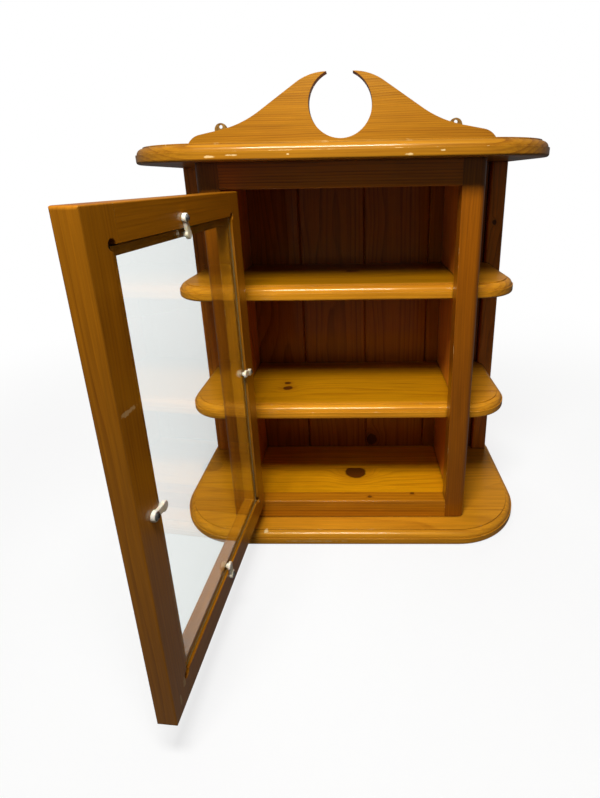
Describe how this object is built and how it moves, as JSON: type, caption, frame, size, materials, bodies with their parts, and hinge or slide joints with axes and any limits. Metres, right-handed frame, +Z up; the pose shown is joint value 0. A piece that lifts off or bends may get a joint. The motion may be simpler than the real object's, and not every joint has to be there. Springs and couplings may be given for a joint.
{
  "type": "display case",
  "caption": "Pine display case with a glazed door on hinges, shelves that run through to open rounded wings, a moulded top and base, and a swan-neck crest.",
  "frame": {"origin": "centre of the base board's underside", "axes": "+X to the right as seen from the front, +Y to the wall behind, +Z up; the door is at rest as it stands open"},
  "size_m": [0.503, 0.4691, 0.631],
  "materials": {
    "pine": "satin lacquer over honey stain",
    "dowel_wood": "bare turned beech",
    "brass": "satin brass plate",
    "steel": "zinc plated",
    "cream_plastic": "semi-gloss moulded",
    "glass": "clear float glass"
  },
  "bodies": {
    "case": {"base_board": "pine", "top_board": "pine", "upper_shelf": "pine", "lower_shelf": "pine", "left_stile": "pine", "right_stile": "pine", "top_rail": "pine", "bottom_rail": "pine", "face_frame_dowels": "dowel_wood", "left_lower_panel": "pine", "left_middle_panel": "pine", "left_upper_panel": "pine", "right_lower_panel": "pine", "right_middle_panel": "pine", "right_upper_panel": "pine", "left_post": "pine", "right_post": "pine", "back_board_1": "pine", "back_board_2": "pine", "back_board_3": "pine", "back_board_4": "pine", "back_board_5": "pine", "base_screws": "steel", "top_dowels": "dowel_wood", "panel_dowels": "dowel_wood", "crest": "pine", "crest_screws": "steel", "left_mirror_plate": "brass", "right_mirror_plate": "brass", "plate_screws": "steel", "upper_frame_leaf": "brass", "lower_frame_leaf": "brass", "frame_leaf_screws": "brass", "upper_hinge_pin": "brass", "lower_hinge_pin": "brass"},
    "door": {"door_hinge_stile": "pine", "door_free_stile": "pine", "door_top_rail": "pine", "door_bottom_rail": "pine", "door_dowels": "dowel_wood", "glass_pane": "glass", "clip_screws": "steel", "upper_door_leaf": "brass", "lower_door_leaf": "brass", "door_leaf_screws": "brass"},
    "clip_top": {"top_clip": "cream_plastic"},
    "clip_bottom": {"bottom_clip": "cream_plastic"},
    "clip_free_stile": {"free_stile_clip": "cream_plastic"},
    "clip_hinge_stile": {"hinge_stile_clip": "cream_plastic"}
  },
  "joints": [
    {"name": "door_hinge", "type": "hinge", "parent": "case", "child": "door", "pos_m": [-0.13825, -0.0812, 0.261], "axis": [0, 0, 1], "range_deg": [-76, 94]},
    {"name": "top_clip_turn", "type": "hinge", "parent": "door", "child": "clip_top", "pos_m": [-0.12773, -0.22754, 0.4565], "axis": [0.9976, -0.0698, 0], "range_deg": [-53, 27]},
    {"name": "bottom_clip_turn", "type": "hinge", "parent": "door", "child": "clip_bottom", "pos_m": [-0.12724, -0.22056, 0.0655], "axis": [0.9976, -0.0698, 0], "range_deg": [-50, 30]},
    {"name": "free_stile_clip_turn", "type": "hinge", "parent": "door", "child": "clip_free_stile", "pos_m": [-0.13558, -0.33977, 0.248], "axis": [0.9976, -0.0698, 0], "range_deg": [-30, 50]},
    {"name": "hinge_stile_clip_turn", "type": "hinge", "parent": "door", "child": "clip_hinge_stile", "pos_m": [-0.11891, -0.10135, 0.258], "axis": [0.9976, -0.0698, 0], "range_deg": [-25, 55]}
  ]
}
